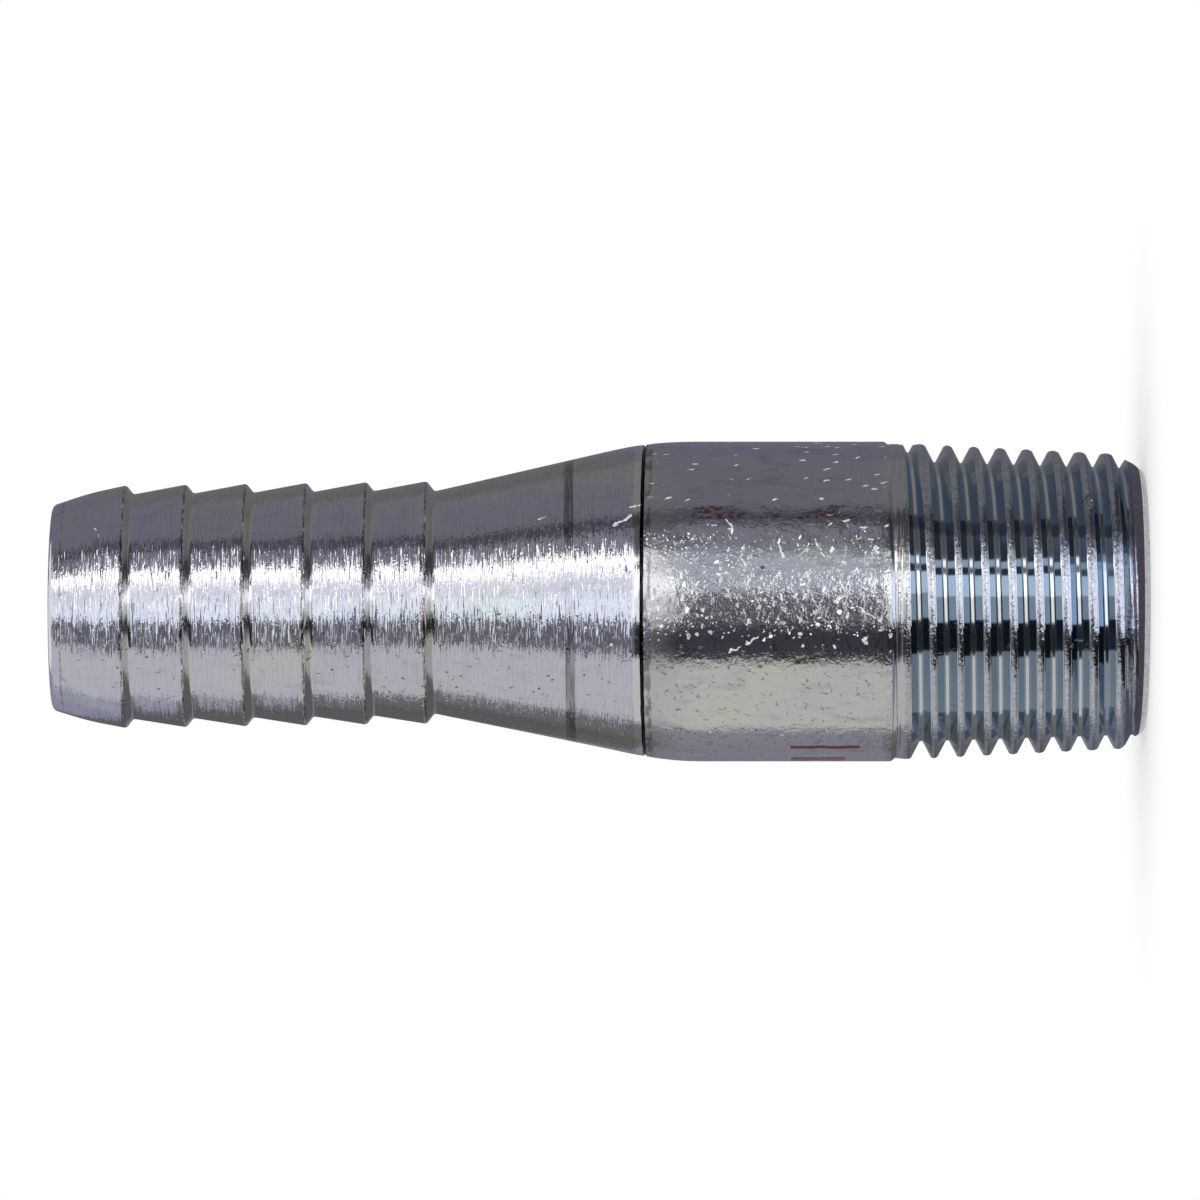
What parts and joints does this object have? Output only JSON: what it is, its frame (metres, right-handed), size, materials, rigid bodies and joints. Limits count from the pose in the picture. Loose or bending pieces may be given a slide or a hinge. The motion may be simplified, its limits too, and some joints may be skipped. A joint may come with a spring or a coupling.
{
  "type": "hose barb tail",
  "caption": "Zinc-plated steel hose tail: a straight tube with a taper pipe thread at one end, swaged down to a barbed end that a hose pushes over.",
  "frame": {"origin": "on the axis, in the plane of the threaded end's face", "axes": "+Z along the axis, from the threaded end to the barbed end; -Y and +X are any two radial directions, and the thread's full depth ends on the -X side"},
  "size_m": [0.022, 0.022, 0.075],
  "materials": {
    "zinc_plated_steel": "bright zinc plating over turned and raw tube steel"
  },
  "bodies": {
    "root": {"hose_tail": "zinc_plated_steel"}
  },
  "joints": []
}
